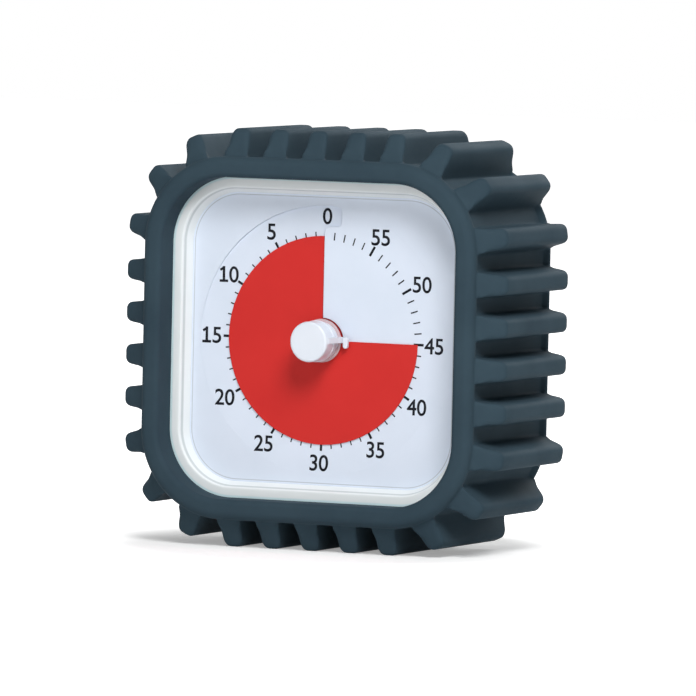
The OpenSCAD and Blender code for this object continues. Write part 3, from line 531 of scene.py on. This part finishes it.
MINUTE = 6                               # degrees
MAJOR_TICK = (25.6, 28.4, 0.65)          # inner and outer radius, width
MINOR_TICK = (25.9, 27.9, 0.34)
TICK_STEPS = 6                           # so that a tick follows the dial's surface

FONT_SIZE, SPACING, THICKEN = 5.3, 0.98, 0.06
CLOSE, SLIDE = 0.05, 0.15                # outline points nearer than this, and how far one goes
NUMERAL_H, NARROW = 4.2, 0.98
NUMERALS = {0: (0.3, 31.9), 5: (-15.4, 27.3), 10: (-26.7, 15.9), 15: (-31.2, 0.1),
            20: (-27.6, -15.8), 25: (-16.3, -27.2), 30: (-0.4, -31.5), 35: (15.5, -27.4),
            40: (26.8, -16), 45: (31.3, -0.2), 50: (27.7, 15.4), 55: (15.8, 27)}
WITH_ONE = (10, 15)                      # their figure one gets a foot and a flag
FOOT_UP, FOOT = 0.35, (2.2, 0.6)         # middle over the base, and length and width
FLAG_ASIDE, FLAG_DOWN, FLAG_LEAN, FLAG = 0.42, 0.62, math.radians(33), (1.25, 0.58)
BASE_BAND = 0.3                          # height in which the points of the stem's end lie


def dial_height(x, y):
    """Height of the dial's surface over its outer plane."""
    r = math.hypot(x, y)
    a = math.degrees(math.atan2(-x, y)) % 360
    ramp = RISE * (a / 360 - 1)
    if r <= RAMP_R:
        return ramp
    if r >= RECESS_R:
        return 0
    if 0 <= x <= POCKET_W and y >= POCKET_IN:
        return -RISE - EDGE_STEP
    edge = -RISE * (1 - a / FADE) - EDGE_STEP if a < FADE else -EDGE_STEP
    return min(0, ramp + (edge - ramp) * (r - RAMP_R) / (RECESS_R - RAMP_R))


def lay_on_dial(obj):
    """Drops a flat print onto the dial and gives it the thickness of ink."""
    for v in obj.data.vertices:
        v.co.z = dial_height(v.co.x, v.co.y) + PRINT_LIFT
    ink = obj.modifiers.new("ink", "SOLIDIFY")
    ink.thickness = INK
    ink.offset = -1
    apply_modifiers(obj)


def tick(minute):
    inner, outer, width = MAJOR_TICK if minute in NUMERALS else MINOR_TICK
    start_fresh()
    bpy.ops.mesh.primitive_grid_add(x_subdivisions=1, y_subdivisions=TICK_STEPS, size=1)
    obj = bpy.context.object
    turn = Matrix.Rotation(math.radians(MINUTE * minute), 4, "Z")
    obj.data.transform(turn @ Matrix.Translation((0, (inner + outer) / 2, 0))
                       @ Matrix.Diagonal((width, outer - inner, 1, 1)))
    return obj


def bar(place, lean, size):
    """A flat bar, to join to a figure."""
    bpy.ops.mesh.primitive_plane_add(size=1)
    obj = bpy.context.object
    obj.data.transform(Matrix.Translation((*place, 0)) @ Matrix.Rotation(lean, 4, "Z")
                       @ Matrix.Diagonal((*size, 1, 1)))
    return obj


def part_close_points(curve):
    """Slides one of two close points away, or a thicker outline would fill the figure four."""
    for spline in curve.splines:
        points = spline.bezier_points
        for i, point in enumerate(points):
            following = points[(i + 1) % len(points)]
            if (point.co - following.co).length < CLOSE:
                slide = (points[i - 1].co - point.co) * SLIDE
                point.co += slide
                point.handle_left += slide
                point.handle_right += slide


def numeral(minute, at):
    """A number's figures, flat, brought to the common height, with their middle at a place."""
    start_fresh()
    bpy.ops.object.text_add()
    obj = bpy.context.object
    obj.data.body = str(minute)
    obj.data.align_x, obj.data.align_y = "CENTER", "CENTER"
    obj.data.size = FONT_SIZE
    obj.data.space_character = SPACING
    bpy.ops.object.convert(target="CURVE")
    obj = bpy.context.object
    part_close_points(obj.data)
    obj.data.offset = THICKEN
    bpy.ops.object.convert(target="MESH")
    obj = bpy.context.object
    flat = [v.co for v in obj.data.vertices]
    low = [min(co[k] for co in flat) for k in (0, 1)]
    high = [max(co[k] for co in flat) for k in (0, 1)]
    scale = NUMERAL_H / (high[1] - low[1])
    if minute in WITH_ONE:
        ends = sorted({round(co.x, 3) for co in flat if co.y < low[1] + BASE_BAND})
        stem = (ends[0] + ends[1]) / 2
        obj = join([obj, bar((stem, low[1] + FOOT_UP), 0, FOOT)], "numeral")
        obj = join([obj, bar((stem - FLAG_ASIDE, high[1] - FLAG_DOWN), FLAG_LEAN, FLAG)],
                   "numeral")
    middle = Matrix.Translation((-(low[0] + high[0]) / 2, -(low[1] + high[1]) / 2, 0))
    obj.data.transform(Matrix.Translation((*at, 0))
                       @ Matrix.Diagonal((scale * NARROW, scale, 1, 1)) @ middle)
    return obj


ticks = join([tick(minute) for minute in range(1, 60)], "dial_ticks")
numerals = join([numeral(minute, at) for minute, at in NUMERALS.items()], "dial_numerals")
for piece in (ticks, numerals):
    lay_on_dial(piece)
    settle(piece)
    piece.data.materials.clear()
    piece.data.materials.append(
        moulded("dial ink", "1d1f26", "181a20", rough=(0.5, 0.65), mottle=200.0,
                grain=6000.0, relief=0.002, soften=0.0, Specular_IOR_Level=0.1))
    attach(piece, "case")


# ---- floor and light ----

FLOOR_SIZE = 6                           # these three and the lamps' distances are in metres
FADE_START, FADE_END = 0.05, 0.078       # from the middle of the object's foot
GLOW_NEAR = 0.3                          # the floor's own light there, and 1 further out
WORLD_LIGHT = 0.08                       # on the object; the camera sees the world as white


def seen_by(tree):
    """One for what the camera sees straight, in a reflection or through a clear piece."""
    path = node(tree, "ShaderNodeLightPath")
    seen = node(tree, "ShaderNodeMath", operation="MAXIMUM")
    clear = node(tree, "ShaderNodeMath", operation="MAXIMUM")
    tree.links.new(path.outputs["Is Camera Ray"], seen.inputs[0])
    tree.links.new(path.outputs["Is Glossy Ray"], seen.inputs[1])
    tree.links.new(seen.outputs[0], clear.inputs[0])
    tree.links.new(path.outputs["Is Transmission Ray"], clear.inputs[1])
    return clear.outputs[0]


def floor_paint():
    """A pale matt floor that takes the shadow, and fades to white away from the object."""
    material = bpy.data.materials.new("floor paint")
    material.use_nodes = True
    tree = material.node_tree
    shader = tree.nodes["Principled BSDF"]
    shader.inputs["Base Color"].default_value = (0.93, 0.93, 0.93, 1)
    shader.inputs["Roughness"].default_value = 0.8
    shader.inputs["Specular IOR Level"].default_value = 0.1
    shader.inputs["Emission Color"].default_value = (1, 1, 1, 1)
    place = node(tree, "ShaderNodeTexCoord")
    away = node(tree, "ShaderNodeVectorMath", operation="LENGTH")
    tree.links.new(place.outputs["Object"], away.inputs[0])
    glow = node(tree, "ShaderNodeMapRange",
                {"From Min": FADE_START, "From Max": FADE_END,
                 "To Min": GLOW_NEAR, "To Max": 1.0}, interpolation_type="SMOOTHSTEP")
    tree.links.new(away.outputs["Value"], glow.inputs["Value"])
    shown = node(tree, "ShaderNodeMath", operation="MULTIPLY")
    tree.links.new(glow.outputs["Result"], shown.inputs[0])
    tree.links.new(seen_by(tree), shown.inputs[1])
    tree.links.new(shown.outputs[0], shader.inputs["Emission Strength"])
    return material


start_fresh()
bpy.ops.mesh.primitive_plane_add(size=1)
floor = bpy.context.object
floor.name = "floor"
floor.data.transform(Matrix.Diagonal((FLOOR_SIZE, FLOOR_SIZE, 1, 1)))
floor.data.materials.append(floor_paint())

world = bpy.data.worlds.new("studio")
bpy.context.scene.world = world
world.use_nodes = True
tree = world.node_tree
background = tree.nodes["Background"]
strength = node(tree, "ShaderNodeMapRange", {"To Min": WORLD_LIGHT, "To Max": 1.0})
tree.links.new(seen_by(tree), strength.inputs["Value"])
background.inputs["Color"].default_value = (1, 1, 1, 1)
tree.links.new(strength.outputs["Result"], background.inputs["Strength"])


def way_to(azimuth, elevation):
    """Direction from the object, in degrees round from the front and up."""
    turn, rise = math.radians(azimuth), math.radians(elevation)
    return Vector((math.sin(turn) * math.cos(rise), -math.cos(turn) * math.cos(rise),
                   math.sin(rise)))


def lamp(name, azimuth, elevation, distance, size, power):
    """A square softbox that looks at the object's middle."""
    light = bpy.data.lights.new(name, "AREA")
    light.size = size
    light.energy = power
    obj = bpy.data.objects.new(name, light)
    bpy.context.scene.collection.objects.link(obj)
    out = way_to(azimuth, elevation)
    obj.location = Vector((0, 0, MIDDLE_Z * MM)) + out * distance
    obj.rotation_euler = out.to_track_quat("Z", "Y").to_euler()


for name, azimuth, elevation, distance, size, power in (
        ("key softbox", 36, 41, 1.2, 0.45, 11.2),
        ("overhead softbox", 0, 85, 1.1, 0.8, 0.4),
        ("front softbox", -5, 5, 1.4, 0.9, 4.4),
        ("back softbox", 170, 28, 1.3, 0.9, 8.0)):
    lamp(name, azimuth, elevation, distance, size, power)


# ---- camera ----

AZIMUTH, ELEVATION, ROLL = 25.0, 3.3, 1.2
DISTANCE = 2.494                         # from the dial's centre, in metres
PIXELS_PER_MM = 3.9008                   # at that distance
PICTURE = 696                            # pixels, across and up
DIAL_PIXEL = (322.55, 340.5)             # where the dial's centre is seen
SENSOR = 36                              # width, in mm
FARTHEST = 20                            # metres that are still drawn

back = way_to(AZIMUTH, ELEVATION)
right = Vector((math.cos(math.radians(AZIMUTH)), math.sin(math.radians(AZIMUTH)), 0))
up = back.cross(right)
roll = Matrix.Rotation(math.radians(ROLL), 3, back)
right, up = roll @ right, roll @ up
dial_centre = Vector((0, DIAL_Y, MIDDLE_Z)) * MM
aim = dial_centre + (right * (PICTURE / 2 - DIAL_PIXEL[0])
                     + up * (DIAL_PIXEL[1] - PICTURE / 2)) / PIXELS_PER_MM * MM
spot = dial_centre + back * DISTANCE
camera = bpy.data.objects.new("camera", bpy.data.cameras.new("camera"))
bpy.context.scene.collection.objects.link(camera)
look = (spot - aim).normalized()
side = up.cross(look).normalized()
camera.matrix_world = Matrix.Translation(spot) @ Matrix(
    (side, look.cross(side), look)).transposed().to_4x4()
camera.data.sensor_width = SENSOR
camera.data.lens = PIXELS_PER_MM * DISTANCE / MM / PICTURE * SENSOR
camera.data.clip_end = FARTHEST
bpy.context.scene.camera = camera

bpy.context.scene.view_settings.view_transform = "Standard"
